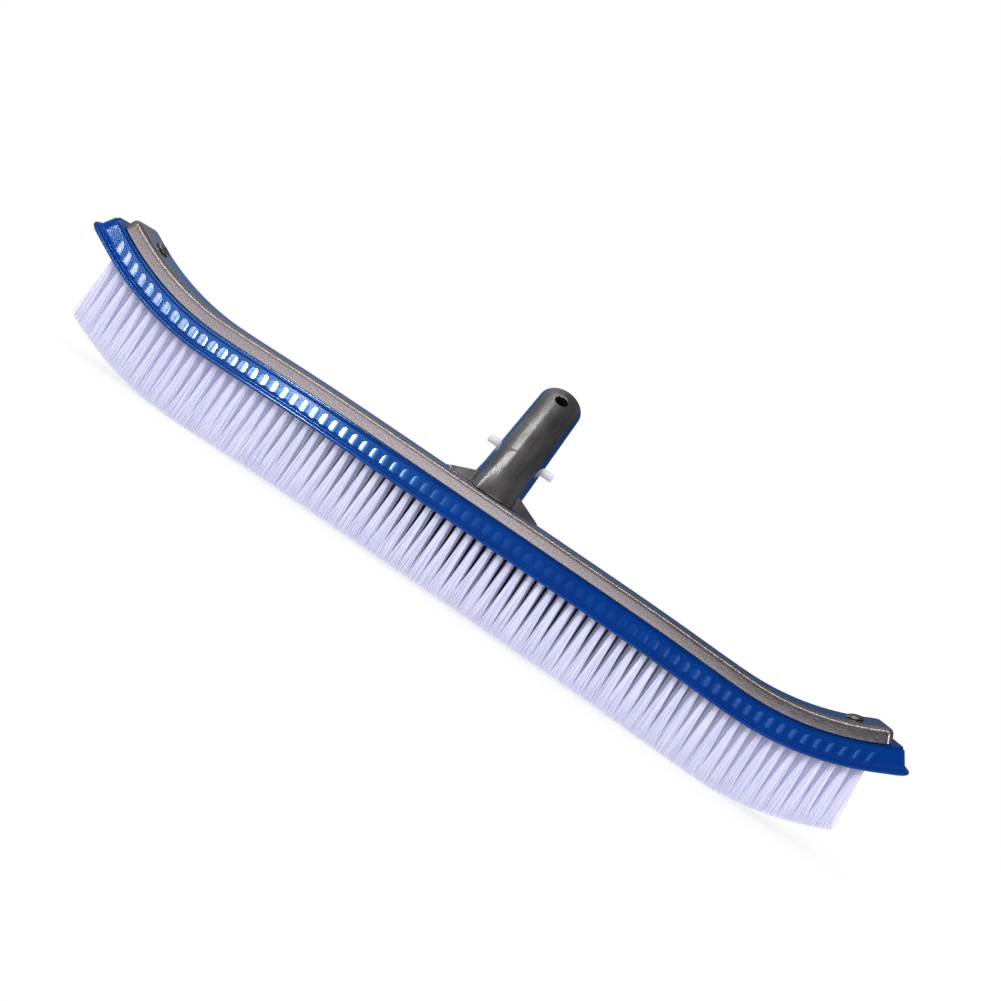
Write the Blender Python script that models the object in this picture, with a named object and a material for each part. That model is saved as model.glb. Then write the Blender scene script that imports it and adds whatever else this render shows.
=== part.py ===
"""A curved pool wall brush: plastic body with nylon tufts, aluminium back and a cast handle socket.

X runs along the brush, +Z points away from the bristles, and the handle leans towards +Y.
The origin is the middle of the trimmed bristle face. Lengths are in metres.
"""

from math import asin, copysign, cos, pi, radians, sin, tau

import bmesh
import bpy
from mathutils import Matrix, Vector

GAP = 0.0003  # kept between neighbours that touch

# The bend that every long piece follows
MIDDLE_HALF = 0.165  # half of the nearly straight stretch
SAG = 0.0014  # how far that stretch drops from its middle to its ends
BEND_RADIUS = 0.164
BEND_ANGLE = radians(27)  # past this turn the ends run straight

# Bristles
BRISTLE = 0.037  # from the body's underside to the trimmed tips
COLUMNS = 74
COLUMN_PITCH = 0.00642
COLUMNS_PER_BLOCK = 2
ROWS = 5
ROW_PITCH = 0.0062
TUFT_ROOT = 0.0042  # across a tuft where it leaves the body
TUFT_FLARE = 0.0056  # across a tuft where it meets its neighbours
FRINGE = 0.010  # depth of the stretch where the tufts run together

# Plastic body, lengths measured along the bend
LIP_HALF_LENGTH = 0.2600
LIP_HALF_WIDTH = 0.0182
LIP_CORNER = 0.008
LIP_HEIGHT = 0.0035
LIP_ROLL = 0.0012  # how far the lip's rounded edge curls in, below and above
WALL_INSET = 0.0023  # lip's edge to the foot of the wall
END_INSET = 0.0022
WALL_DRAFT = 0.0013
END_DRAFT = 0.0010
WALL_FOOT = 0.0042
SHOULDER = 0.0136
SHOULDER_EDGE = 0.0006

# Aluminium back
BACK_HALF_LENGTH = 0.2503
BACK_HALF_WIDTH = 0.0141
BACK_CORNER = 0.0045
BACK_FOOT = 0.0142
BACK_TOP = 0.0222
BACK_EDGE = 0.0030  # radius of the long edges
BACK_SKIN = 0.0015

# Cast handle socket
TILT = radians(47)  # of the tube, away from the brush's normal
AXIS_OFFSET = 0.006  # where the tube's axis meets the back
TUBE_LENGTH = 0.0908  # from the back to the mouth, along the axis
TUBE_BASE_RADIUS = 0.0149
TUBE_TIP_RADIUS = 0.0138
BORE_RADIUS = 0.0120
BORE_BOTTOM = 0.027
MOUTH_EDGE = 0.0006
NECK_TOP = 0.025
NECK_HALF_WIDTH = 0.0152
NECK_HALF_DEPTH = 0.0095
NECK_RISE = 0.004  # how far the neck climbs straight before it leans
NECK_LEAN = 0.007  # how far it runs in line with the tube before it meets it
WING_REACH = 0.0287
WING_ROOT = 0.0135
WING_HEIGHT = 0.0068
WING_TIP = 0.0006
WING_FRONT = -0.0030
WING_REAR = 0.0070
HANG_HOLE_RADIUS = 0.0039
HANG_HOLE_AT = 0.0805  # along the tube's axis

# Spring clip
PIN_AT = 0.0365
PIN_RADIUS = 0.0025
PIN_REACH = 0.0213
PIN_HOLE_RADIUS = 0.0039
PIN_HOLE_SHIFT = 0.0009  # the hole sits lower, where the pin swings to
HINGE_AT = 0.069
ARM_FREE_END = 0.031
ARM_OFFSET = 0.0096
ARM_THICK = 0.0020
ARM_HALF_WIDTH = 0.0040
CLIP_RISE = 0.0070

# Screws
END_SCREW_AT = 0.2318  # along the bend
END_HEAD_RADIUS = 0.0044
END_HEAD_HEIGHT = 0.0022
END_SHANK_RADIUS = 0.0018
END_SCREW_LENGTH = 0.012
POINT_LENGTH = 0.002
HEAD_RIM = 0.0010  # height of a screw head's straight side
RECESS_REACH = 0.0022
RECESS_HALF_WIDTH = 0.0004
FOOT_SCREW_AT = 0.0075
FOOT_HEAD_RADIUS = 0.0036
FOOT_HEAD_HEIGHT = 0.0022
FOOT_SHANK_RADIUS = 0.0020
FOOT_SCREW_RISE = 0.0060  # above the back

CORNER_STEPS = 3
STATIONS = [0.0275 * i for i in range(-6, 7)]
STATIONS += [side * (MIDDLE_HALF + 0.0129 * i) for i in range(1, 6) for side in (-1, 1)]
STATIONS.sort()

TUBE_AXIS = Vector((0, sin(TILT), cos(TILT)))
TUBE_FRONT = Vector((0, -cos(TILT), sin(TILT)))  # square to the axis, on the side facing -Y
ACROSS = Vector((1, 0, 0))


# The bend


def underside(x):
    """Height and slope of the body's underside at x."""
    d = abs(x)
    if d <= MIDDLE_HALF:
        share = (d / MIDDLE_HALF) ** 3
        height = -SAG * sin(pi / 2 * share) ** 2
        slope = -SAG * sin(pi * share) * pi / 2 * 3 * share / max(d, 1e-6)
    elif d <= MIDDLE_HALF + BEND_RADIUS * sin(BEND_ANGLE):
        slope = asin((d - MIDDLE_HALF) / BEND_RADIUS)
        height = BEND_RADIUS * (1 - cos(slope)) - SAG
    else:
        slope = BEND_ANGLE
        run = d - MIDDLE_HALF - BEND_RADIUS * sin(BEND_ANGLE)
        height = BEND_RADIUS * (1 - cos(slope)) - SAG + run * sin(slope) / cos(slope)
    return BRISTLE + height, slope


def along(s):
    """The x reached after running s along the bend."""
    turned = abs(s) - MIDDLE_HALF
    if turned <= 0:
        return s
    arc = min(turned, BEND_RADIUS * BEND_ANGLE)
    x = MIDDLE_HALF + BEND_RADIUS * sin(arc / BEND_RADIUS) + (turned - arc) * cos(BEND_ANGLE)
    return copysign(x, s)


def bend(s, y, height):
    """The point that lies s along the brush, y across it and height above the underside."""
    x = along(s)
    level, slope = underside(x)
    return Vector((x - copysign(height * sin(slope), s), y, level + height * cos(slope)))


def bend_frame(s, height):
    """A frame on the brush's middle line, its Z square to the bend."""
    slope = copysign(underside(along(s))[1], s)
    return Matrix.Translation(bend(s, 0, height)) @ Matrix.Rotation(-slope, 4, "Y")


# Meshes


def make_object(name, bm, material, parent=None):
    mesh = bpy.data.meshes.new(name)
    bm.to_mesh(mesh)
    bm.free()
    mesh.shade_smooth()
    mesh.set_sharp_from_angle(angle=radians(35))
    mesh.materials.append(material)
    thing = bpy.data.objects.new(name, mesh)
    bpy.context.scene.collection.objects.link(thing)
    thing.parent = parent
    return thing


def make_material(name, colour, roughness, metallic):
    material = bpy.data.materials.new(name)
    material.use_nodes = True
    shader = material.node_tree.nodes["Principled BSDF"]
    shader.inputs["Base Color"].default_value = (*colour, 1)
    shader.inputs["Roughness"].default_value = roughness
    shader.inputs["Metallic"].default_value = metallic
    return material


def strip_ring(half_length, half_width, corner, height):
    """A round-cornered strip's outline, bent: one long side out, the other back."""
    turns = [pi / 2 * i / CORNER_STEPS for i in range(CORNER_STEPS + 1)]
    start = [(-half_length + corner * (1 - cos(a)), half_width - corner * (1 - sin(a))) for a in turns]
    side = start + [(s, half_width) for s in STATIONS] + [(-s, y) for s, y in reversed(start)]
    loop = side + [(s, -y) for s, y in reversed(side)]
    return [bend(s, y, height) for s, y in loop]


def skin_rings(bm, rings):
    """Faces between neighbouring rings of equal length. Returns the vertex loops."""
    loops = [[bm.verts.new(point) for point in ring] for ring in rings]
    for low, high in zip(loops, loops[1:]):
        for i in range(len(low)):
            j = (i + 1) % len(low)
            bm.faces.new((low[i], low[j], high[j], high[i]))
    return loops


def strip_solid(rings):
    """A closed strip from outlines made by strip_ring; its two ends are laid rung by rung."""
    bm = bmesh.new()
    loops = skin_rings(bm, rings)
    for loop in (loops[0], loops[-1]):
        for i in range(len(loop) // 2 - 1):
            bm.faces.new((loop[i], loop[i + 1], loop[-2 - i], loop[-1 - i]))
    bmesh.ops.recalc_face_normals(bm, faces=bm.faces)
    return bm


def ring_solid(rings):
    """A closed solid from round rings, with a flat face on each end."""
    bm = bmesh.new()
    loops = skin_rings(bm, rings)
    bm.faces.new(loops[0])
    bm.faces.new(loops[-1])
    bmesh.ops.recalc_face_normals(bm, faces=bm.faces)
    return bm


def turned_solid(profile, segments):
    """A solid turned about Z from (radius, height) points."""
    turns = [tau * i / segments for i in range(segments)]
    return ring_solid([[(r * cos(a), r * sin(a), z) for a in turns] for r, z in profile])


def box_between(low, high):
    bm = bmesh.new()
    bmesh.ops.create_cube(bm, size=1)
    size = Vector(high) - Vector(low)
    middle = (Vector(high) + Vector(low)) / 2
    bmesh.ops.transform(bm, matrix=Matrix.Translation(middle) @ Matrix.Diagonal((*size, 1)), verts=bm.verts)
    return bm


def carve(thing, cutter, operation="DIFFERENCE"):
    """Leave cutter on thing as a Boolean, and keep it out of the built part."""
    cutter.hide_render = True
    cutter.display_type = "WIRE"
    modifier = thing.modifiers.new(cutter.name, "BOOLEAN")
    modifier.operation = operation
    modifier.object = cutter


def drill(thing, name, place, radius, low, high, segments=16):
    """Bore thing along place's Z, from low to high."""
    bm = turned_solid([(radius, low), (radius, high)], segments)
    cutter = make_object(name, bm, thing.data.materials[0])
    cutter.matrix_world = place
    carve(thing, cutter)


# Body and back


def make_body(plastic):
    """Drafted block with a rolled lip round its foot and a plinth that fills the back."""
    wall_length = LIP_HALF_LENGTH - END_INSET
    wall_width = LIP_HALF_WIDTH - WALL_INSET
    wall_corner = LIP_CORNER - WALL_INSET
    top_length = wall_length - END_DRAFT
    top_width = wall_width - WALL_DRAFT
    top_corner = wall_corner - WALL_DRAFT
    plinth = (BACK_HALF_LENGTH - BACK_SKIN - GAP, BACK_HALF_WIDTH - BACK_SKIN - GAP, BACK_CORNER - BACK_SKIN)
    rings = []
    for degrees in (-90, -45, 0, 45, 90):
        inset = LIP_ROLL * (1 - cos(radians(degrees)))
        height = LIP_HEIGHT / 2 * (1 + sin(radians(degrees)))
        rings.append(strip_ring(LIP_HALF_LENGTH - inset, LIP_HALF_WIDTH - inset, LIP_CORNER - inset, height))
    rings.append(strip_ring(wall_length, wall_width, wall_corner, WALL_FOOT))
    rings.append(strip_ring(top_length, top_width, top_corner, SHOULDER - SHOULDER_EDGE))
    rings.append(strip_ring(top_length - SHOULDER_EDGE, top_width - SHOULDER_EDGE, top_corner, SHOULDER))
    rings.append(strip_ring(*plinth, SHOULDER))
    rings.append(strip_ring(*plinth, BACK_TOP - BACK_SKIN - GAP))
    body = make_object("brush_body", strip_solid(rings), plastic)
    for side, label in ((-1, "left"), (1, "right")):
        place = bend_frame(side * END_SCREW_AT, BACK_TOP)
        drill(body, f"pilot_hole_{label}", place, END_SHANK_RADIUS + GAP, -END_SCREW_LENGTH - GAP, 0.001)
        place = bend_frame(side * FOOT_SCREW_AT, BACK_TOP)
        pocket = -BACK_SKIN - FOOT_HEAD_HEIGHT - 2 * GAP
        drill(body, f"head_pocket_{label}", place, FOOT_HEAD_RADIUS + GAP, pocket, 0.001)


def make_back(aluminium):
    """Pressed channel with closed round ends and rolled top edges."""
    rings = []
    inner_length = BACK_HALF_LENGTH - BACK_SKIN
    inner_width = BACK_HALF_WIDTH - BACK_SKIN
    for height in (BACK_TOP - BACK_SKIN, BACK_FOOT):
        rings.append(strip_ring(inner_length, inner_width, BACK_CORNER - BACK_SKIN, height))
    rings.append(strip_ring(BACK_HALF_LENGTH, BACK_HALF_WIDTH, BACK_CORNER, BACK_FOOT))
    for degrees in (0, 30, 60, 90):
        turn = radians(degrees)
        inset = BACK_EDGE * (1 - cos(turn))
        height = BACK_TOP - BACK_EDGE * (1 - sin(turn))
        outline = (BACK_HALF_LENGTH - inset, BACK_HALF_WIDTH - inset, BACK_CORNER - inset)
        rings.append(strip_ring(*outline, height))
    back = make_object("aluminium_back", strip_solid(rings), aluminium)
    for side, label in ((-1, "left"), (1, "right")):
        place = bend_frame(side * END_SCREW_AT, BACK_TOP)
        drill(back, f"end_screw_hole_{label}", place, END_SHANK_RADIUS + GAP, -0.003, 0.001)
        place = bend_frame(side * FOOT_SCREW_AT, BACK_TOP)
        drill(back, f"foot_screw_hole_{label}", place, FOOT_SHANK_RADIUS + GAP, -0.003, 0.001)


# Bristles


def tuft_block(columns):
    """A few columns of tufts, each its own tapered stem, joined by the fringe at their tips."""
    half = COLUMN_PITCH / 2
    start = columns[0] - half + GAP / 2
    end = columns[-1] + half - GAP / 2
    xs = [start] + [c + half for c in columns[:-1]] + [end]
    ys = [ROW_PITCH * (r - ROWS / 2) for r in range(ROWS + 1)]
    bm = bmesh.new()

    def trimmed(x):
        """Height of the tips at x, on a straight line from one edge of the block to the other."""
        low, high = underside(start)[0] - BRISTLE, underside(end)[0] - BRISTLE
        return low + (high - low) * (x - start) / (end - start)

    outer = ((start, ys[0]), (end, ys[0]), (end, ys[-1]), (start, ys[-1]))
    tips = [bm.verts.new((x, y, trimmed(x))) for x, y in outer]
    grid = [[bm.verts.new((x, y, trimmed(x) + FRINGE)) for x in xs] for y in ys]
    bm.faces.new(tips)
    bm.faces.new([tips[0], tips[1], *reversed(grid[0])])
    bm.faces.new([tips[2], tips[3], *grid[-1]])
    bm.faces.new([tips[1], tips[2], *[row[-1] for row in reversed(grid)]])
    bm.faces.new([tips[3], tips[0], *[row[0] for row in grid]])
    for row in range(ROWS):
        for column, x in enumerate(columns):
            y = ROW_PITCH * (row - (ROWS - 1) / 2)
            near, far = grid[row], grid[row + 1]
            cell = (near[column], near[column + 1], far[column + 1], far[column])
            foot = square_ring(bm, x, y, TUFT_FLARE, lambda px: trimmed(px) + FRINGE)
            root = square_ring(bm, x, y, TUFT_ROOT, lambda px: underside(px)[0] - GAP)
            for i in range(4):
                j = (i + 1) % 4
                bm.faces.new((cell[i], cell[j], foot[j], foot[i]))
                bm.faces.new((foot[i], foot[j], root[j], root[i]))
            bm.faces.new(root)
    bmesh.ops.recalc_face_normals(bm, faces=bm.faces)
    return bm


def square_ring(bm, x, y, width, height):
    half = width / 2
    corners = ((-half, -half), (half, -half), (half, half), (-half, half))
    return [bm.verts.new((x + dx, y + dy, height(x + dx))) for dx, dy in corners]


def make_tufts(nylon):
    places = [COLUMN_PITCH * (i - (COLUMNS - 1) / 2) for i in range(COLUMNS)]
    for block in range(COLUMNS // COLUMNS_PER_BLOCK):
        columns = places[block * COLUMNS_PER_BLOCK : (block + 1) * COLUMNS_PER_BLOCK]
        make_object(f"tuft_block_{block + 1:02d}", tuft_block(columns), nylon)


# Handle socket


def tube_point(t, x=0.0, front=0.0):
    """A point t along the tube's axis from the back, x across and front towards -Y."""
    base = bend(0, AXIS_OFFSET, BACK_TOP)
    return base + TUBE_AXIS * t + ACROSS * x + TUBE_FRONT * front


def tube_ring(t, radius, segments=28):
    turns = [tau * i / segments for i in range(segments)]
    return [tube_point(t, radius * cos(a), radius * sin(a)) for a in turns]


def outer_radius(t):
    return TUBE_BASE_RADIUS + (TUBE_TIP_RADIUS - TUBE_BASE_RADIUS) * t / TUBE_LENGTH


def neck_rings(segments=28, steps=6):
    """From an oval on the back, leaning over into the round tube."""
    foot_level = bend(0, 0, BACK_TOP + GAP).z
    top = tube_ring(NECK_TOP, outer_radius(NECK_TOP), segments)
    rings = []
    for step in range(steps):
        u = step / steps
        ring = []
        for i in range(segments):
            a = tau * i / segments
            start = Vector((NECK_HALF_WIDTH * cos(a), -NECK_HALF_DEPTH * sin(a), foot_level))
            rising = start + Vector((0, 0, NECK_RISE))
            leaning = top[i] - TUBE_AXIS * NECK_LEAN
            weights = ((1 - u) ** 3, 3 * u * (1 - u) ** 2, 3 * u * u * (1 - u), u**3)
            points = (start, rising, leaning, top[i])
            ring.append(sum((w * p for w, p in zip(weights, points)), Vector()))
        rings.append(ring)
    return rings + [top]


def make_wings(material):
    """The two gussets beside the neck, as one bar that runs through it."""
    foot = bend(0, 0, BACK_TOP + GAP).z + 0.0001
    outline = [(-WING_REACH, 0), (WING_REACH, 0), (WING_REACH, WING_TIP), (WING_ROOT, WING_HEIGHT)]
    outline += [(-WING_ROOT, WING_HEIGHT), (-WING_REACH, WING_TIP)]
    bm = bmesh.new()
    for y in (WING_FRONT, WING_REAR):
        bm.faces.new([bm.verts.new((x, y, foot + z)) for x, z in outline])
    near, far = ([v for v in face.verts] for face in bm.faces)
    for i in range(len(outline)):
        j = (i + 1) % len(outline)
        bm.faces.new((near[i], near[j], far[j], far[i]))
    bmesh.ops.recalc_face_normals(bm, faces=bm.faces)
    return make_object("socket_wings", bm, material)


def make_socket(casting):
    """Neck, tube and bore as one casting, with holes for the pins, the hook and the screws."""
    rings = neck_rings()
    rings.append(tube_ring(TUBE_LENGTH - MOUTH_EDGE, outer_radius(TUBE_LENGTH)))
    rings.append(tube_ring(TUBE_LENGTH, TUBE_TIP_RADIUS - MOUTH_EDGE))
    rings.append(tube_ring(TUBE_LENGTH, BORE_RADIUS))
    rings.append(tube_ring(BORE_BOTTOM, BORE_RADIUS))
    bm = ring_solid(rings)
    bmesh.ops.triangulate(bm, faces=bm.faces)
    socket = make_object("handle_socket", bm, casting)
    carve(socket, make_wings(casting), "UNION")
    across = Matrix.Translation(tube_point(PIN_AT - PIN_HOLE_SHIFT)) @ Matrix.Rotation(pi / 2, 4, "Y")
    drill(socket, "pin_holes", across, PIN_HOLE_RADIUS, -0.020, 0.020)
    facing_front = TUBE_FRONT.to_track_quat("Z", "Y").to_matrix().to_4x4()
    forward = Matrix.Translation(tube_point(HANG_HOLE_AT)) @ facing_front
    drill(socket, "hang_hole", forward, HANG_HOLE_RADIUS, 0.002, 0.020)
    for side, label in ((-1, "left"), (1, "right")):
        place = bend_frame(side * FOOT_SCREW_AT, BACK_TOP)
        drill(socket, f"foot_tapping_{label}", place, FOOT_SHANK_RADIUS + GAP, -0.001, FOOT_SCREW_RISE + GAP)


# Spring clip


def clip_frame(t):
    """Z along the tube, Y towards its front, X across the brush."""
    turn = Matrix((ACROSS, -TUBE_FRONT, TUBE_AXIS)).transposed().to_4x4()
    return Matrix.Translation(tube_point(t)) @ turn


def make_clip_bend(plastic):
    """The bowed end of the clip, which the two arms hang from."""
    steps = 10
    half, width = ARM_THICK / 2, ARM_HALF_WIDTH
    section = ((-half, -width), (half, -width), (half, width), (-half, width))
    rings = []
    for i in range(steps + 1):
        turn = pi * i / steps
        rings.append([((ARM_OFFSET + d) * cos(turn), y, (CLIP_RISE + d) * sin(turn)) for d, y in section])
    bow = make_object("clip_bend", ring_solid(rings), plastic)
    bow.matrix_world = clip_frame(HINGE_AT)


def make_clip_arm(label, side, plastic):
    """One arm with its locking pin; its pivot is where it meets the bend."""
    pivot = bpy.data.objects.new(f"clip_pivot_{label}", None)
    bpy.context.scene.collection.objects.link(pivot)
    pivot.matrix_world = clip_frame(HINGE_AT) @ Matrix.Translation((side * ARM_OFFSET, 0, 0))
    low = (-ARM_THICK / 2, -ARM_HALF_WIDTH, ARM_FREE_END - HINGE_AT)
    high = (ARM_THICK / 2, ARM_HALF_WIDTH, -GAP)
    arm = make_object(f"clip_arm_{label}", box_between(low, high), plastic, pivot)
    reach = PIN_REACH - ARM_OFFSET
    profile = [(PIN_RADIUS, 0), (PIN_RADIUS, reach - 0.0005), (PIN_RADIUS - 0.0005, reach)]
    pin = make_object(f"clip_pin_{label}", turned_solid(profile, 20), plastic, pivot)
    pin.matrix_local = Matrix.Translation((0, 0, PIN_AT - HINGE_AT)) @ Matrix.Rotation(side * pi / 2, 4, "Y")
    carve(arm, pin, "UNION")


# Screws


def make_end_screw(label, side, steel):
    """Pan-head tapping screw that holds the back down on the body."""
    rim = END_HEAD_RADIUS
    shank = END_SHANK_RADIUS
    profile = [(shank * 0.4, -END_SCREW_LENGTH), (shank, POINT_LENGTH - END_SCREW_LENGTH), (shank, GAP)]
    profile += [(rim, GAP), (rim, HEAD_RIM)]
    profile += [(rim * 0.82, END_HEAD_HEIGHT * 0.8), (rim * 0.5, END_HEAD_HEIGHT)]
    screw = make_object(f"end_screw_{label}", turned_solid(profile, 20), steel)
    screw.matrix_world = bend_frame(side * END_SCREW_AT, BACK_TOP)
    for axis, x, y in (("x", RECESS_REACH, RECESS_HALF_WIDTH), ("y", RECESS_HALF_WIDTH, RECESS_REACH)):
        bm = box_between((-x, -y, HEAD_RIM), (x, y, 2 * END_HEAD_HEIGHT))
        cutter = make_object(f"recess_{label}_{axis}", bm, steel)
        cutter.matrix_world = screw.matrix_world
        carve(screw, cutter)


def make_foot_screw(label, side, steel):
    """Screw driven up through the back into the neck of the handle socket."""
    under = -BACK_SKIN - GAP
    head = FOOT_HEAD_RADIUS
    profile = [(head * 0.7, under - FOOT_HEAD_HEIGHT), (head, under - HEAD_RIM), (head, under)]
    profile += [(FOOT_SHANK_RADIUS, under), (FOOT_SHANK_RADIUS, FOOT_SCREW_RISE)]
    screw = make_object(f"foot_screw_{label}", turned_solid(profile, 16), steel)
    screw.matrix_world = bend_frame(side * FOOT_SCREW_AT, BACK_TOP)


def main():
    for thing in list(bpy.data.objects):
        bpy.data.objects.remove(thing, do_unlink=True)
    blue = make_material("blue_plastic", (0.0, 0.045, 0.36), 0.28, 0.0)
    aluminium = make_material("satin_aluminium", (0.62, 0.58, 0.55), 0.32, 1.0)
    casting = make_material("cast_aluminium", (0.42, 0.40, 0.39), 0.42, 1.0)
    nylon = make_material("white_nylon", (0.78, 0.78, 0.86), 0.45, 0.0)
    acetal = make_material("white_plastic", (0.80, 0.80, 0.84), 0.35, 0.0)
    steel = make_material("zinc_steel", (0.60, 0.60, 0.60), 0.30, 1.0)
    make_body(blue)
    make_back(aluminium)
    make_tufts(nylon)
    make_socket(casting)
    make_clip_bend(acetal)
    for side, label in ((-1, "left"), (1, "right")):
        make_clip_arm(label, side, acetal)
        make_end_screw(label, side, steel)
        make_foot_screw(label, side, steel)


main()
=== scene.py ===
"""Looks of the pool wall brush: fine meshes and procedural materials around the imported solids.

X runs along the brush, +Z points away from the bristles, and the handle leans towards +Y. Metres.
"""

from math import cos, pi, radians, sin, sqrt, tan, tau

import bmesh
import bpy
import numpy as np
from mathutils import Matrix, Vector


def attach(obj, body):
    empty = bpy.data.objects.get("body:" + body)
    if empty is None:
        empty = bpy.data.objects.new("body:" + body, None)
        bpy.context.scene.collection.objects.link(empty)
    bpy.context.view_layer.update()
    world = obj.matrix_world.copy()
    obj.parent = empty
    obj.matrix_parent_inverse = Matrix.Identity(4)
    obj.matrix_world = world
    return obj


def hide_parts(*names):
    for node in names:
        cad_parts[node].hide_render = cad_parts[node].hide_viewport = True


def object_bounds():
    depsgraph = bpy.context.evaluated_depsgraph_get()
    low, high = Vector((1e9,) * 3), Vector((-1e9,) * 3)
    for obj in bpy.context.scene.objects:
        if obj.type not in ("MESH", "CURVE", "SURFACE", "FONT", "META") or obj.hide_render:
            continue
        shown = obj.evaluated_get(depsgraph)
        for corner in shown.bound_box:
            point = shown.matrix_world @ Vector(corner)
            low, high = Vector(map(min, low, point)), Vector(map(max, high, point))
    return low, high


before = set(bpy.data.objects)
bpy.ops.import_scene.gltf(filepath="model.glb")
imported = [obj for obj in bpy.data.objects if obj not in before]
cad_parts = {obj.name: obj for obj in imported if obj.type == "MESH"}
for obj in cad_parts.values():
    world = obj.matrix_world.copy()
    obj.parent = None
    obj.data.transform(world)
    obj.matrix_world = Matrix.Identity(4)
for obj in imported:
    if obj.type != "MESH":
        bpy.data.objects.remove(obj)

cad_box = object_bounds()

# The bend that every long piece follows
MIDDLE_HALF = 0.165
SAG = 0.0014
BEND_RADIUS = 0.164
BEND_ANGLE = radians(27)
BRISTLE = 0.037

# Tufts
COLUMNS = 74
COLUMN_PITCH = 0.00642
COLUMNS_PER_BLOCK = 2
ROWS = 5
ROW_PITCH = 0.0062
FILAMENTS = (64, 52, 110, 52, 64)  # in a tuft of each row
FILAMENT_RADIUS = 0.00019
FILAMENT_SIDES = 4
FILAMENT_STEPS = 5  # points along it
THICKNESS_RANGE = (0.85, 1.15)
SPLAY_END = 0.95  # share of the length over which a filament splays
SPLAY_POWER = 1.25
FILAMENT_BOW = 0.00018
TRIM_SCATTER = 0.00035
ROOT_RADII = (0.0012, 0.0023, 0.0036, 0.0023, 0.0012)
ROW_PAINTED_SHADE = (0.0, 0.3, 1.0, 0.3, 0.0)  # painted shade: how much the inner rows are darkened near their roots
PAINTED_SHADE_MIDDLE = 0.022  # where along the brush the painted shade is deepest, and how far it reaches
PAINTED_SHADE_REACH = 0.125
PAINTED_SHADE_FROM = 0.62  # share of the length where the painted shade starts to fade, and the share it fades over
PAINTED_SHADE_FADE = 0.36
TUFT_SQUARENESS = 0.22
TIP_REACH = 0.50  # share of the pitch that a tuft's tips spread to, each way
TUFT_LEAN = 0.00022
TIP_SCATTER = 0.00028
STRAY_SHARE = 0.22  # of the filaments in the last column, and how far they stray
STRAY_REACH = (0.0008, 0.0034)
TUFT_DEPTH = 0.0020  # of the roots in the body

# Plastic body, lengths along the bend
LIP_HALF_LENGTH = 0.2600
LIP_HALF_WIDTH = 0.0182
LIP_CORNER = 0.008
WALL_INSET = 0.0023
WALL_FOOT = 0.0043
WALL_LEAN = 0.0013 / 0.0093  # inwards for each metre up
LEDGE = 0.0121
LEDGE_EDGE = 0.0006
SHOULDER = 0.0136
# Inset and height in millimetres: round foot, bead, groove and the slope up to the wall
LIP_PROFILE = ((1.2, 0.0), (0.6, 0.1), (0.2, 0.45), (0.0, 1.0), (0.0, 1.5), (0.15, 2.0), (0.5, 2.4))
LIP_PROFILE += ((0.95, 2.55), (1.2, 2.6), (1.3, 2.75), (1.25, 2.95), (1.3, 3.2), (1.5, 3.45))
LIP_PROFILE += ((1.85, 3.7), (2.15, 4.0))
BODY_END_STEPS = 6  # between a corner and the nearest boss
BOSS_HALF_WIDTH = 0.0023
BOSS_TOP = 0.0103
BOSS_RISE = 0.0001  # at its foot
BOSS_TILT = 0.07  # how much further it stands out for each metre up
BOSS_CROWN = 0.00007
BOSS_STEP = 0.00004  # the width of its sharp edge
BOSS_CAP = 0.954  # share of its round top's height where it is cut off, and its width there
BOSS_CAP_WIDTH = 0.3

# Aluminium back
BACK_HALF_LENGTH = 0.2503
BACK_HALF_WIDTH = 0.0141
BACK_CORNER = 0.0045
BACK_FOOT = 0.0142
BACK_TOP = 0.0222
BACK_EDGE = 0.0030
BACK_SKIN = 0.0015
BACK_HEM = 0.0003  # the rounding of its lower edge
BACK_STATIONS = np.linspace(-0.995, 0.995, 240)
GAP = 0.0003

# Handle socket, t runs along the tube's axis from the back
TILT = radians(47)
AXIS_OFFSET = 0.006
TUBE_LENGTH = 0.0908
TUBE_BASE_RADIUS = 0.0149
TUBE_TIP_RADIUS = 0.0138
BORE_RADIUS = 0.0120
BORE_BOTTOM = 0.027
MOUTH_EDGE = 0.0006
NECK_TOP = 0.0215
NECK_HALF_WIDTH = 0.0152
NECK_HALF_DEPTH = 0.0095
NECK_NOSE = -0.0122  # how far forward its front comes
NECK_CLEARANCE = 0.0007  # between the back and the front's lowest corner
NECK_ROUNDING = 0.35  # sine of the turn over which the oval foot becomes the tube's front
NECK_BACK_RISE = 0.004  # how far it runs straight up at the back, and along the tube at the front
NECK_FRONT_RISE = 0.003
NECK_BACK_REACH = 0.007
NECK_STEPS = 22
NECK_BULGE = -0.018  # its front stands out by this share, up to the step
STEP_AT = 0.0237
WING_REACH = 0.0287
WING_ROOT = 0.0135
WING_HEIGHT = 0.0068
WING_TIP = 0.0006
WING_MIDDLE = 0.002  # its place across the brush
WING_TIP_HALF = 0.0010
WING_SWELL = 0.0040
WING_STATIONS = 61
# Half a wing's section: share of its half thickness, and share of its height
WING_HALF = ((1, 0.0), (0.66, 0.3004), (0.33, 0.6502), (0.12, 0.9028), (0.05, 0.977), (0, 1.0))
HANG_HOLE_RADIUS = 0.0039
HANG_HOLE_AT = 0.0805
HANG_HOLE_BACK = 0.0072  # how far from the tube's axis it is cut
PAD_SIZE = (0.012, 0.0092, 0.0066)  # a block inside the bore, behind the hang hole, in near-black painted shade
PAD_FRONT = 0.0123
TUBE_SEGMENTS = 96
PARTING_SEGMENT = 18
PARTING_RISE = 0.0002

# Spring clip
PIN_AT = 0.0365
PIN_RADIUS = 0.0025
PIN_REACH = 0.0213
PIN_HOLE_RADIUS = 0.0039
PIN_HOLE_SHIFT = 0.0009
HINGE_AT = 0.069
ARM_FREE_END = 0.031
ARM_OFFSET = 0.0096
ARM_THICK = 0.0020
ARM_HALF_WIDTH = 0.0040
CLIP_RISE = 0.0070
CLIP_EDGE = 0.0005
ARM_EDGE = 0.0004

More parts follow.
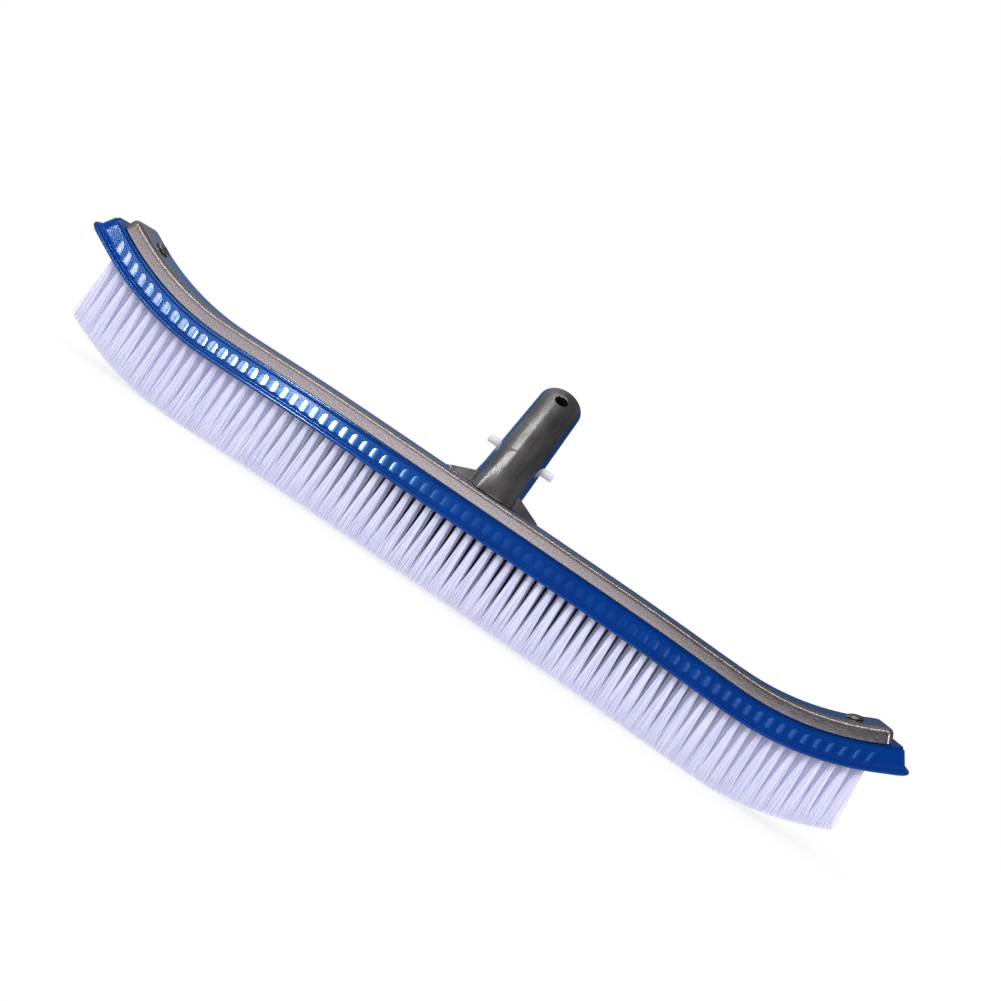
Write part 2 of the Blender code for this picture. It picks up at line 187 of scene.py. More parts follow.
# Screws
END_SCREW_AT = 0.2318
END_HEAD_RADIUS = 0.0044
END_HEAD_HEIGHT = 0.0022
END_HEAD_SIDE = 0.0009
SHANK_RADIUS = 0.0018
SHANK_LENGTH = 0.004
RECESS_SIZE = (0.0046, 0.0009, 0.0024)
RECESS_TURNS = (35, 125)  # degrees

# Studio
FLOOR_RADIUS = 1.2
FLOOR_DROP = 0.0002
FLOOR_FADE = (0.45, 1.1)  # from opaque to clear
# What the glossy pieces mirror of the world: stops of a direction's X or Z, and their grey or colour
OVERHEAD = ((-0.9, 0.24), (-0.5, 0.42), (-0.15, 0.30), (0.12, 0.17), (0.5, 0.13))
LOW_FRONT = ((-0.40, (0.70, 0.65, 0.68)), (-0.30, (0.72, 0.68, 0.71)), (-0.18, (1.10, 1.01, 1.08)))
LOW_FRONT += ((-0.06, (1.18, 1.12, 1.12)), (0.05, (0.66, 0.61, 0.63)), (0.12, (0.58, 0.54, 0.57)))
LOW_FRONT += ((0.19, (0.04, 0.035, 0.04)), (0.30, (0.01, 0.01, 0.012)))
BEHIND = ((-0.2, (0.085, 0.19, 0.42)), (0.2, (0.02, 0.09, 0.26)))
BEHIND_LEVELS = ((-0.4, 0.0), (-0.2, 1.0), (0.25, 1.0), (0.45, 0.0))
WARM = (1.0, 0.62, 0.45)  # so that the blue plastic mirrors it as nearly white

# Camera
CAMERA_PLACE = (0.03723, -0.57932, 0.09120)
CAMERA_AZIMUTH = radians(3.12)
CAMERA_TILT = radians(90 - 3.09)
CAMERA_ROLL = radians(33.96)
CAMERA_LENS = 39.56

SHARP = radians(35)  # edges between faces that meet at more than this stay sharp

TUBE_AXIS = Vector((0, sin(TILT), cos(TILT)))
TUBE_FRONT = Vector((0, -cos(TILT), sin(TILT)))
ACROSS = Vector((1, 0, 0))


# The bend, for arrays of points


def underside(x):
    """Height and slope of the body's underside at x."""
    d = np.abs(x)
    share = np.minimum(d / MIDDLE_HALF, 1) ** 3
    turned = np.arcsin(np.clip((d - MIDDLE_HALF) / BEND_RADIUS, 0, sin(BEND_ANGLE)))
    straight = np.maximum(d - MIDDLE_HALF - BEND_RADIUS * sin(BEND_ANGLE), 0)
    height = BRISTLE - SAG * np.sin(pi / 2 * share) ** 2
    height = height + BEND_RADIUS * (1 - np.cos(turned)) + straight * tan(BEND_ANGLE)
    slope = turned - SAG * np.sin(pi * share) * 1.5 * pi * share / np.maximum(d, 1e-6)
    return height, slope


def along(s):
    """The x reached after running s along the bend."""
    turned = np.maximum(np.abs(s) - MIDDLE_HALF, 0)
    arc = np.minimum(turned, BEND_RADIUS * BEND_ANGLE)
    x = BEND_RADIUS * np.sin(arc / BEND_RADIUS) + (turned - arc) * cos(BEND_ANGLE)
    return np.copysign(np.minimum(np.abs(s), MIDDLE_HALF) + x, s)


def bend(s, y, height):
    """Points that lie s along the brush, y across it and height above the underside."""
    s, y, height = np.broadcast_arrays(s, y, height)
    x = along(s)
    level, slope = underside(x)
    return np.stack([x - np.copysign(height * np.sin(slope), s), y, level + height * np.cos(slope)], -1)


def bend_frame(s, height):
    """A frame on the brush's middle line, its Z square to the bend."""
    slope = float(np.copysign(underside(along(s))[1], s))
    return Matrix.Translation(Vector(bend(s, 0.0, height))) @ Matrix.Rotation(-slope, 4, "Y")


# Meshes


def make_thing(name, points, faces, material):
    """An object from points and faces, with its faces turned outwards."""
    mesh = bpy.data.meshes.new(name)
    mesh.from_pydata(np.asarray(points).reshape(-1, 3).tolist(), [], faces)
    bm = bmesh.new()
    bm.from_mesh(mesh)
    bmesh.ops.recalc_face_normals(bm, faces=bm.faces)
    bm.to_mesh(mesh)
    bm.free()
    mesh.materials.append(material)
    mesh.shade_smooth()
    mesh.set_sharp_from_angle(angle=SHARP)
    thing = bpy.data.objects.new(name, mesh)
    bpy.context.scene.collection.objects.link(thing)
    return thing


def set_values(mesh, name, values):
    """Stores one number for each point, for a material to read."""
    values = np.asarray(values, np.float32).ravel()
    mesh.attributes.new(name, "FLOAT", "POINT").data.foreach_set("value", values)


def skin(rings):
    """Quads between neighbouring rings of equal length, and the index of each ring's points."""
    levels, size = rings.shape[:2]
    index = np.arange(levels * size).reshape(levels, size)
    low, high = index[:-1], index[1:]
    quads = np.stack([low, np.roll(low, -1, 1), np.roll(high, -1, 1), high], -1)
    return quads.reshape(-1, 4).tolist(), index


def strip_thing(name, rings, material):
    """A closed strip, its two ends laid rung by rung."""
    faces, index = skin(rings)
    for loop in (index[0], index[-1]):
        start, end = loop[: len(loop) // 2], loop[len(loop) // 2 :][::-1]
        faces += np.stack([start[:-1], start[1:], end[1:], end[:-1]], -1).tolist()
    return make_thing(name, rings, faces, material)


def ring_thing(name, rings, material):
    """A closed solid from round rings, with a flat face on each end."""
    rings = np.asarray(rings)
    faces, index = skin(rings)
    faces += [index[0].tolist(), index[-1].tolist()]
    return make_thing(name, rings, faces, material)


def turned_thing(name, profile, segments, material, place=Matrix.Identity(4)):
    """A solid turned about place's Z from (radius, height) points."""
    turns = np.arange(segments) * tau / segments
    rings = [[place @ Vector((r * cos(a), r * sin(a), z)) for a in turns] for r, z in profile]
    return ring_thing(name, rings, material)


def round_box(name, size, edge, material, place):
    """A box with rounded edges, in place's frame."""
    bm = bmesh.new()
    bmesh.ops.create_cube(bm, size=1)
    bmesh.ops.transform(bm, matrix=Matrix.Diagonal((*size, 1)), verts=bm.verts)
    bmesh.ops.bevel(bm, geom=bm.edges, offset=edge, segments=4, profile=0.5, affect="EDGES")
    points = [place @ v.co for v in bm.verts]
    faces = [[v.index for v in face.verts] for face in bm.faces]
    bm.free()
    return make_thing(name, points, faces, material)


def combine(thing, cutter, operation="DIFFERENCE"):
    """Cuts cutter from thing, or joins them, and takes the cutter away."""
    modifier = thing.modifiers.new(cutter.name, "BOOLEAN")
    modifier.operation = operation
    modifier.object = cutter
    modifier.material_mode = "TRANSFER"
    graph = bpy.context.evaluated_depsgraph_get()
    mesh = bpy.data.meshes.new_from_object(thing.evaluated_get(graph))
    thing.modifiers.clear()
    thing.data = mesh
    mesh.set_sharp_from_angle(angle=SHARP)
    bpy.data.objects.remove(cutter, do_unlink=True)


def place_piece(thing, body, node):
    """The thing moves with a body and stands for a CAD node, which is hidden."""
    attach(thing, body)
    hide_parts(node)


# Materials


class Paint:
    """A Principled material and short ways to add nodes to it."""

    def __init__(self, name, metallic=0.0):
        self.material = bpy.data.materials.new(name)
        self.material.use_nodes = True
        self.nodes = self.material.node_tree.nodes
        self.links = self.material.node_tree.links
        self.shader = self.nodes["Principled BSDF"]
        self.shader.inputs["Metallic"].default_value = metallic

    def add(self, kind, inputs=(), **settings):
        made = self.nodes.new("ShaderNode" + kind)
        for name, value in settings.items():
            setattr(made, name, value)
        for name, value in dict(inputs).items():
            if isinstance(value, bpy.types.NodeSocket):
                self.links.new(value, made.inputs[name])
            else:
                made.inputs[name].default_value = value
        return made

    def grain(self, scale, detail=2.0, stretch=(1, 1, 1), turn=(0, 0, 0)):
        """Noise from 0 to 1 in the object's own space. A small stretch draws it out along that axis."""
        place = self.add("TexCoord").outputs["Object"]
        turned = self.add("Mapping", {"Vector": place, "Rotation": turn}).outputs["Vector"]
        drawn = self.add("Mapping", {"Vector": turned, "Scale": stretch}).outputs["Vector"]
        return self.add("TexNoise", {"Vector": drawn, "Scale": scale, "Detail": detail}).outputs["Fac"]

    def blend(self, factor, low, high):
        """A colour between low and high."""
        mix = self.add("Mix", data_type="RGBA")
        for socket, value in ((mix.inputs[0], factor), (mix.inputs[6], low), (mix.inputs[7], high)):
            if isinstance(value, bpy.types.NodeSocket):
                self.links.new(value, socket)
            else:
                socket.default_value = (*value, 1) if isinstance(value, tuple) else value
        return mix.outputs[2]

    def spread(self, factor, from_low, from_high, low, high):
        """factor mapped from one range to another, and held inside it."""
        inputs = {"Value": factor, "From Min": from_low, "From Max": from_high}
        return self.add("MapRange", {**inputs, "To Min": low, "To Max": high}).outputs["Result"]

    def wire(self, name, socket):
        self.links.new(socket, self.shader.inputs[name])

    def bump(self, height, distance, strength=1.0, under=None):
        inputs = {"Height": height, "Distance": distance, "Strength": strength}
        if under:
            inputs["Normal"] = under
        return self.add("Bump", inputs).outputs["Normal"]


def blue_plastic():
    """Glossy mouldings with faint clouds, fine scuffs along the brush, and painted shade darkening the top
    under the back.
    """
    paint = Paint("moulded_blue")
    cloud = paint.grain(45, 3)
    fine = paint.grain(1400, 2)
    scuffs = paint.grain(700, 3, (0.08, 1, 1))
    cloudy = paint.spread(cloud, 0.3, 0.7, 0, 1)
    body = paint.blend(cloudy, (0.0, 0.017, 0.140), (0.0, 0.024, 0.172))
    worn = paint.spread(scuffs, 0.66, 0.80, 0, 0.12)
    body = paint.blend(worn, body, (0.01, 0.10, 0.40))
    # painted shade: the shade attribute darkens the band above the ledge and the top under the back towards
    # near-black navy
    shade = paint.add("Attribute", attribute_name="shade").outputs["Fac"]
    painted_shade_amount = paint.spread(shade, 0, 1, 0, 0.6)
    paint.wire("Base Color", paint.blend(painted_shade_amount, body, (0.0, 0.008, 0.06)))
    paint.wire("Roughness", paint.spread(scuffs, 0.3, 0.75, 0.15, 0.19))
    paint.shader.inputs["Specular Tint"].default_value = (0.05, 0.40, 1.0, 1)
    paint.shader.inputs["Coat Weight"].default_value = 0.22
    paint.shader.inputs["Coat Roughness"].default_value = 0.12
    rough = paint.bump(fine, 0.000002)
    paint.wire("Normal", paint.bump(cloud, 0.0004, 0.25, rough))
    return paint.material


def satin_aluminium():
    """Speckled skin of the pressed back, drawn along the brush and stained in patches."""
    paint = Paint("satin_aluminium_skin", metallic=1.0)
    speckle = paint.grain(1700, 2)
    drawn = paint.grain(1500, 3, (0.12, 1, 1))
    cloud = paint.grain(35, 3)
    speckled = paint.spread(speckle, 0.35, 0.65, 0, 1)
    metal = paint.blend(speckled, (0.27, 0.24, 0.245), (0.70, 0.645, 0.66))
    stain = paint.spread(cloud, 0.35, 0.7, 0, 0.2)
    paint.wire("Base Color", paint.blend(stain, metal, (0.42, 0.39, 0.40)))
    paint.wire("Roughness", paint.spread(drawn, 0.3, 0.7, 0.18, 0.28))
    paint.wire("Normal", paint.bump(speckle, 0.000008, 1.0, paint.bump(drawn, 0.000008)))
    return paint.material


def cast_aluminium():
    """Dark patchy casting with fine lines along the tube."""
    paint = Paint("cast_aluminium_skin", metallic=1.0)
    drawn = paint.grain(900, 3, (1, 1, 0.06), (TILT, 0, 0))
    cloud = paint.grain(110, 4, (1, 1, 0.35), (TILT, 0, 0))
    fine = paint.grain(2200, 2)
    patchy = paint.spread(cloud, 0.35, 0.65, 0, 1)
    metal = paint.blend(patchy, (0.22, 0.208, 0.212), (0.43, 0.41, 0.41))
    lined = paint.spread(drawn, 0.4, 0.75, 0, 0.4)
    paint.wire("Base Color", paint.blend(lined, metal, (0.50, 0.48, 0.47)))
    paint.wire("Roughness", paint.spread(cloud, 0.3, 0.7, 0.18, 0.28))
    paint.wire("Normal", paint.bump(drawn, 0.00002, 1.0, paint.bump(fine, 0.000012)))
    return paint.material


def nylon():
    """White filaments with a faint painted glow. The tufts give the attributes: each filament's tone, and the
    painted shade that darkens its root.
    """
    paint = Paint("nylon_filament")
    tone = paint.add("Attribute", attribute_name="tone").outputs["Fac"]
    shade = paint.add("Attribute", attribute_name="shade").outputs["Fac"]
    streak = paint.grain(300, 2, (1, 1, 0.15))
    white = paint.blend(paint.spread(tone, 0, 1, 0, 1), (0.74, 0.74, 0.93), (0.86, 0.86, 1.0))
    white = paint.blend(paint.spread(streak, 0.4, 0.7, 0, 0.25), white, (0.72, 0.71, 0.90))
    # painted shade: the inner rows' roots darken to near-black navy
    colour = paint.blend(shade, white, (0.006, 0.009, 0.040))
    paint.wire("Base Color", colour)
    paint.wire("Emission Color", colour)  # painted glow: the filaments give off a little light in their own colour, lifting their shadows as light passed through them would
    paint.shader.inputs["Emission Strength"].default_value = 0.11
    paint.wire("Roughness", paint.spread(tone, 0, 1, 0.32, 0.5))
    return paint.material


def painted_shade_inside():
    """Near-black painted shade for the casting inside the tube."""
    paint = Paint("painted_shade_casting", metallic=0.4)
    cloud = paint.grain(700, 3)
    paint.wire("Base Color", paint.blend(cloud, (0.004, 0.004, 0.005), (0.012, 0.011, 0.011)))
    paint.wire("Roughness", paint.spread(cloud, 0.3, 0.7, 0.6, 0.8))
    return paint.material


def white_plastic():
    """Plain moulded clip."""
    paint = Paint("moulded_white")
    cloud = paint.grain(160, 3)
    fine = paint.grain(1800, 2)
    paint.wire("Base Color", paint.blend(cloud, (0.72, 0.72, 0.78), (0.86, 0.86, 0.90)))
    paint.wire("Roughness", paint.spread(cloud, 0.3, 0.7, 0.28, 0.42))
    paint.wire("Normal", paint.bump(fine, 0.00002))
    return paint.material


def zinc_steel():
    """Dull plated screws."""
    paint = Paint("zinc_steel_skin", metallic=1.0)
    cloud = paint.grain(500, 3)
    fine = paint.grain(3000, 2)
    paint.wire("Base Color", paint.blend(cloud, (0.16, 0.155, 0.15), (0.50, 0.49, 0.47)))
    paint.wire("Roughness", paint.spread(cloud, 0.3, 0.7, 0.16, 0.32))
    paint.wire("Normal", paint.bump(fine, 0.00002))
    return paint.material


# Body and back


def outline(half_length, half_width, corner, shares):
    """A round-cornered strip's outline as s and y: one long side out, the other back.

    The long sides have their points at those shares of the length between the corners, from -1 to 1.
    """
    turns = np.linspace(0, pi / 2, 9)
    s = -half_length + corner * (1 - np.cos(turns))
    y = half_width - corner * (1 - np.sin(turns))
    s = np.concatenate([s, shares * (half_length - corner), -s[::-1]])
    y = np.concatenate([y, np.full(len(shares), half_width), y[::-1]])
    return np.concatenate([s, s[::-1]]), np.concatenate([y, -y[::-1]])


def boss_half(height):
    """Half the width of a boss at that height: straight sides under a round top."""
    dome = max(height - (BOSS_TOP - BOSS_HALF_WIDTH), 0)
    return BOSS_HALF_WIDTH * sqrt(max(1 - (dome / BOSS_HALF_WIDTH) ** 2, BOSS_CAP_WIDTH**2))


def boss_rise(x, height):
    """How far the wall stands out at x: a crowned pad beside each tuft hole near it."""
    if height > BOSS_TOP - (1 - BOSS_CAP) * BOSS_HALF_WIDTH + 1e-6:
        return 0 * x
    off = (x / COLUMN_PITCH - np.floor(x / COLUMN_PITCH) - 0.5) * COLUMN_PITCH
    rise = BOSS_RISE + BOSS_TILT * (height - WALL_FOOT) - BOSS_CROWN * (off / BOSS_HALF_WIDTH) ** 2
    beside_tuft = np.abs(x) < COLUMNS / 2 * COLUMN_PITCH
    return np.where(beside_tuft & (np.abs(off) < boss_half(height) + BOSS_STEP / 2), rise, 0)


def wall_heights():
    """Levels up the wall that follow the bosses' round tops."""
    spring = BOSS_TOP - BOSS_HALF_WIDTH
    dome = spring + BOSS_HALF_WIDTH * np.append(np.sin(np.radians(np.arange(12, 72, 9))), BOSS_CAP)
    above = np.linspace(dome[-1] + 0.0003, LEDGE - LEDGE_EDGE, 4)
    return np.concatenate([np.linspace(WALL_FOOT, spring, 5), dome, [dome[-1] + BOSS_STEP], above])


def body_shares(height):
    """Shares along the body at that height, two of them at each edge of every boss."""
    half = boss_half(height)
    edges = [half + BOSS_STEP, COLUMN_PITCH / 2]
    near = np.concatenate([[-half - BOSS_STEP], half * np.linspace(-1, 1, 9), edges])
    x = np.add.outer((np.arange(COLUMNS) - (COLUMNS - 1) / 2) * COLUMN_PITCH, near).ravel()
    run = np.linspace(-LIP_HALF_LENGTH, LIP_HALF_LENGTH, 6000)
    s = np.interp(x, bend(run, 0, min(height, SHOULDER))[:, 0], run)
    shares = s / (LIP_HALF_LENGTH - LIP_CORNER)
    left = np.linspace(-1, shares[0], BODY_END_STEPS)[1:-1]
    right = np.linspace(shares[-1], 1, BODY_END_STEPS)[1:-1]
    return np.concatenate([left, shares, right])


def body_profile():
    """Inset and height of the body's section: lip, wall, ledge and shoulder."""
    lip = [(inset / 1000, height / 1000) for inset, height in LIP_PROFILE]
    wall = [(WALL_INSET + WALL_LEAN * (h - WALL_FOOT), h) for h in wall_heights()]
    edge = wall[-1][0]
    turns = np.linspace(radians(15), radians(80), 6)
    top = [(edge + LEDGE_EDGE * (1 - cos(a)), LEDGE - LEDGE_EDGE * (1 - sin(a))) for a in turns]
    edge += LEDGE_EDGE
    top += [(edge + 0.0001, LEDGE + 0.0001), (edge + 0.0003, SHOULDER - 0.0003), (edge + 0.0005, SHOULDER)]
    return lip + wall + top


def body_ring(inset, height):
    """The body's outline at that height, with its bosses standing out of the long sides."""
    shares = body_shares(height)
    s, y = outline(LIP_HALF_LENGTH - inset, LIP_HALF_WIDTH - inset, LIP_CORNER - inset, shares)
    ring = bend(s, y, height)
    if WALL_FOOT <= height <= LEDGE - 0.0005:
        long_side = np.abs(y) > LIP_HALF_WIDTH - inset - 1e-7
        ring[:, 1] += np.sign(y) * np.where(long_side, boss_rise(ring[:, 0], height), 0)
    return ring


def make_body(material):
    """Lip, wall with bosses, ledge and shoulder, and the plinth that fills the back."""
    profile = body_profile()
    rings = [body_ring(inset, height) for inset, height in profile]
    half_length = BACK_HALF_LENGTH - BACK_SKIN - GAP
    half_width = BACK_HALF_WIDTH - BACK_SKIN - GAP
    s, y = outline(half_length, half_width, BACK_CORNER - BACK_SKIN, body_shares(SHOULDER))
    rings += [bend(s, y, height) for height in (SHOULDER, BACK_TOP - BACK_SKIN - GAP)]
    body = strip_thing("blue_body", np.array(rings), material)
    heights = [height for _, height in profile] + [SHOULDER, BACK_TOP]
    # painted shade for the material: the band above the ledge, the shoulder and the plinth under the back
    shade = np.clip((np.array(heights) - LEDGE) / 0.0004, 0, 1)
    set_values(body.data, "shade", np.repeat(shade, rings[0].shape[0]))
    place_piece(body, "brush", "brush_body")


def make_back(material):
    """Pressed channel with closed round ends and rolled top edges."""
    rings = []

    def lay(inset, height):
        s, y = outline(BACK_HALF_LENGTH - inset, BACK_HALF_WIDTH - inset, BACK_CORNER - inset, BACK_STATIONS)
        rings.append(bend(s, y, height))

    for height in (BACK_TOP - BACK_SKIN, BACK_FOOT + BACK_HEM):
        lay(BACK_SKIN, height)
    lay(BACK_SKIN - BACK_HEM, BACK_FOOT)
    lay(BACK_HEM, BACK_FOOT)
    lay(0.0, BACK_FOOT + BACK_HEM)
    for turn in np.linspace(0, pi / 2, 12):
        lay(BACK_EDGE * (1 - cos(turn)), BACK_TOP - BACK_EDGE * (1 - sin(turn)))
    back = strip_thing("aluminium_channel", np.array(rings), material)
    place_piece(back, "brush", "aluminium_back")


# Tufts


def tuft(rng, column, row):
    """Root and tip of each filament of one tuft, and how much painted shade darkens its root."""
    count = FILAMENTS[row]
    x = COLUMN_PITCH * (column - (COLUMNS - 1) / 2)
    y = ROW_PITCH * (row - (ROWS - 1) / 2)
    ring = np.sqrt((np.arange(count) + 0.5) / count)
    turn = np.arange(count) * pi * (3 - 5**0.5) + rng.uniform(0, tau)
    disc = np.stack([ring * np.cos(turn), ring * np.sin(turn)], -1)
    square = disc * (1 + TUFT_SQUARENESS * np.sin(2 * turn)[:, None] ** 2)
    root = np.array([x, y]) + disc * ROOT_RADII[row]
    reach = np.array([COLUMN_PITCH, ROW_PITCH]) * TIP_REACH
    lean = rng.normal(0, TUFT_LEAN, 2)
    tip = np.array([x, y]) + square * reach + lean + rng.normal(0, TIP_SCATTER, (count, 2))
    if column == COLUMNS - 1:
        stray = rng.uniform(0, 1, count) < STRAY_SHARE
        tip[:, 0] += np.where(stray, rng.uniform(*STRAY_REACH, count), 0)
    return root, tip, ROW_PAINTED_SHADE[row] * np.exp(-(((x - PAINTED_SHADE_MIDDLE) / PAINTED_SHADE_REACH) ** 4))


def filament_points(rng, root, tip):
    """Rings of points along filaments, which splay from the body down to the trimmed end."""
    count = len(root)
    u = np.linspace(0, 1, FILAMENT_STEPS)[None, :, None]
    splay = np.minimum(u / SPLAY_END, 1) ** SPLAY_POWER
    bow = rng.normal(0, FILAMENT_BOW, (count, 1, 2)) * np.sin(pi * u)
    middle = root[:, None] + (tip - root)[:, None] * splay + bow
    top = underside(root[:, 0])[0] + TUFT_DEPTH
    bottom = underside(tip[:, 0])[0] - BRISTLE + np.abs(rng.normal(0, TRIM_SCATTER, count))
    z = top[:, None] + (bottom - top)[:, None] * u[..., 0]
    turn = rng.uniform(0, tau, (count, 1, 1)) + np.arange(FILAMENT_SIDES) * tau / FILAMENT_SIDES
    thick = FILAMENT_RADIUS * rng.uniform(*THICKNESS_RANGE, (count, 1, 1))
    x = middle[..., 0:1] + thick * np.cos(turn)
    y = middle[..., 1:2] + thick * np.sin(turn)
    return np.stack([x, y, np.broadcast_to(z[..., None], x.shape)], -1)


def filament_faces(count):
    """Sides and ends of that many filaments."""
    shape = (count, FILAMENT_STEPS, FILAMENT_SIDES)
    index = np.arange(np.prod(shape)).reshape(shape)
    low, high = index[:, :-1], index[:, 1:]
    quads = np.stack([low, high, np.roll(high, -1, 2), np.roll(low, -1, 2)], -1).reshape(-1, 4)
    ends = np.concatenate([index[:, 0, :], index[:, -1, ::-1]])
    return np.concatenate([quads, ends]).tolist()


def block_points(rng, block):
    """Every filament of a block's tufts: its points, and the painted shade on each of them."""
    fade = 1 - np.clip((np.linspace(0, 1, FILAMENT_STEPS) - PAINTED_SHADE_FROM) / PAINTED_SHADE_FADE, 0, 1)
    parts, painted_shades = [], []
    for column in range(block * COLUMNS_PER_BLOCK, (block + 1) * COLUMNS_PER_BLOCK):
        for row in range(ROWS):
            root, tip, dark = tuft(rng, column, row)
            parts.append(filament_points(rng, root, tip))
            painted_shades.append(np.broadcast_to((dark * fade)[None, :, None], parts[-1].shape[:3]))
    return np.concatenate(parts), np.concatenate(painted_shades)


def make_tufts(material):
    """One piece for each block of the frame."""
    rng = np.random.default_rng(7)
    for block in range(COLUMNS // COLUMNS_PER_BLOCK):
        points, shade = block_points(rng, block)
        number = f"{block + 1:02d}"
        mesh = bpy.data.meshes.new("tufts_" + number)
        mesh.from_pydata(points.reshape(-1, 3).tolist(), [], filament_faces(len(points)))
        tone = np.broadcast_to(rng.uniform(0, 1, (len(points), 1, 1)), points.shape[:3])
        set_values(mesh, "tone", tone)
        # painted shade: darkens the inner rows' roots near the brush's middle
        set_values(mesh, "shade", shade)
        mesh.materials.append(material)
        mesh.shade_smooth()
        piece = bpy.data.objects.new("tufts_" + number, mesh)
        bpy.context.scene.collection.objects.link(piece)
        place_piece(piece, "brush", "tuft_block_" + number)


# Handle socket


def tube_point(t, x=0.0, front=0.0):
    """The point t along the tube's axis, then so far across it and to its front."""
    base = Vector((0, AXIS_OFFSET, BRISTLE + BACK_TOP))
    return base + TUBE_AXIS * t + ACROSS * x + TUBE_FRONT * front


def tube_ring(t, radius, flat=0.0):
    """A section with a fine parting line. Its front is pressed in by flat, or out where that is below 0."""
    ring = []
    for i in range(TUBE_SEGMENTS):
        a = tau * i / TUBE_SEGMENTS
        r = radius + (PARTING_RISE if i == PARTING_SEGMENT and t < TUBE_LENGTH - 0.002 else 0)
        ring.append(tube_point(t, r * cos(a), r * sin(a) * (1 - flat * max(0, sin(a)))))
    return ring


def outer_radius(t):
    return TUBE_BASE_RADIUS + (TUBE_TIP_RADIUS - TUBE_BASE_RADIUS) * t / TUBE_LENGTH


def neck_side(a):
    """Where the neck starts at turn a, where it leans from, and how far it follows the tube's front."""
    foot_level = BRISTLE + BACK_TOP + GAP
    r = TUBE_BASE_RADIUS
    foot = Vector((NECK_HALF_WIDTH * cos(a), -NECK_HALF_DEPTH * sin(a), foot_level))
    rising = foot + Vector((0, 0, NECK_BACK_RISE))
    if sin(a) <= 0:
        return foot, rising, 0.0
    at_back = (NECK_CLEARANCE - r * sin(a) * sin(TILT)) / cos(TILT)
    at_nose = (NECK_NOSE - AXIS_OFFSET + r * sin(a) * cos(TILT)) / sin(TILT)
    share = min(sin(a) / NECK_ROUNDING, 1)
    share = share * share * (3 - 2 * share)
    corner = tube_point(max(at_back, at_nose), r * cos(a), r * sin(a))
    foot = foot.lerp(Vector((corner.x, corner.y, foot_level)), share)
    return foot, rising.lerp(corner + TUBE_AXIS * NECK_FRONT_RISE, share), share


def neck_rings():
    """From the back up, leaning over into the tube."""
    top = tube_ring(NECK_TOP, outer_radius(NECK_TOP), NECK_BULGE)
    sides = [neck_side(tau * i / TUBE_SEGMENTS) for i in range(TUBE_SEGMENTS)]
    rings = []
    for step in range(NECK_STEPS):
        u = (step / NECK_STEPS) ** 1.5
        weights = ((1 - u) ** 3, 3 * u * (1 - u) ** 2, 3 * u * u * (1 - u), u**3)
        ring = []
        for (foot, rising, share), end in zip(sides, top):
            reach = NECK_BACK_REACH + ((end - foot).length / 3 - NECK_BACK_REACH) * share
            leaning = end - TUBE_AXIS * reach
            ring.append(sum((w * p for w, p in zip(weights, (foot, rising, leaning, end))), Vector()))
        rings.append(ring)
    return rings + [top]


def tube_rings():
    """From the neck up past the step, over the mouth's edge and down the bore."""
    rings = []
    for off in (-0.0016, -0.0009, -0.0003, 0.0003, 0.0009):
        t = STEP_AT + off
        rings.append(tube_ring(t, outer_radius(t), NECK_BULGE if off < 0 else 0.0))
    for t in np.linspace(STEP_AT + 0.006, TUBE_LENGTH - MOUTH_EDGE, 10):
        rings.append(tube_ring(t, outer_radius(t)))
    for turn in (30, 60, 90):
        inset = MOUTH_EDGE * (1 - cos(radians(turn)))
        rings.append(tube_ring(TUBE_LENGTH - MOUTH_EDGE * (1 - sin(radians(turn))), TUBE_TIP_RADIUS - inset))
    rings.append(tube_ring(TUBE_LENGTH, BORE_RADIUS + 0.0003))
    rings.append(tube_ring(TUBE_LENGTH - 0.0003, BORE_RADIUS))
    rings.append(tube_ring(BORE_BOTTOM, BORE_RADIUS))
    return rings


def make_wings(material):
    """The two gussets beside the neck as one bar, thick at the root, with sloping sides and a round ridge."""
    foot = BRISTLE + BACK_TOP + GAP + 0.0001
    section = [(-side, up) for side, up in WING_HALF] + list(WING_HALF[-2::-1])
    across, up = np.array(section).T
    rings = []
    for x in np.linspace(-WING_REACH, WING_REACH, WING_STATIONS):
        share = np.clip((WING_REACH - abs(x)) / (WING_REACH - WING_ROOT), 0, 1)
        tall = WING_TIP + (WING_HEIGHT - WING_TIP) * share
        deep = WING_TIP_HALF + WING_SWELL * share
        rings.append(np.stack([np.full(len(up), x), WING_MIDDLE + deep * across, foot + tall * up], -1))
    return ring_thing("wings", rings, material)


def make_socket(material, inside):
    """Neck, tube and bore as one casting, with its wings, its holes and a pad behind the hang hole, the pad
    and the hole's walls in near-black painted shade.
    """
    socket = ring_thing("socket_casting", np.array(neck_rings() + tube_rings()), material)
    combine(socket, make_wings(material), "UNION")
    across = Matrix.Translation(tube_point(PIN_AT - PIN_HOLE_SHIFT)) @ Matrix.Rotation(pi / 2, 4, "Y")
    profile = [(PIN_HOLE_RADIUS, -0.02), (PIN_HOLE_RADIUS, 0.02)]
    combine(socket, turned_thing("pin_holes", profile, 64, material, across))
    facing = TUBE_FRONT.to_track_quat("Z", "Y").to_matrix().to_4x4()
    forward = Matrix.Translation(tube_point(HANG_HOLE_AT)) @ facing
    behind = forward @ Matrix.Translation((0, 0, PAD_FRONT - PAD_SIZE[2] / 2))
    # painted shade: the pad and the hang hole's cut walls take the near-black material
    combine(socket, round_box("pad", PAD_SIZE, 0.0004, inside, behind), "UNION")
    profile = [(HANG_HOLE_RADIUS, HANG_HOLE_BACK), (HANG_HOLE_RADIUS, 0.0130)]
    combine(socket, turned_thing("hang_hole", profile, 64, inside, forward))
    profile = [(HANG_HOLE_RADIUS - 0.0002, 0.0126), (HANG_HOLE_RADIUS + 0.0010, 0.0146)]
    combine(socket, turned_thing("hang_hole_edge", profile, 64, material, forward))
    place_piece(socket, "brush", "handle_socket")


# Spring clip


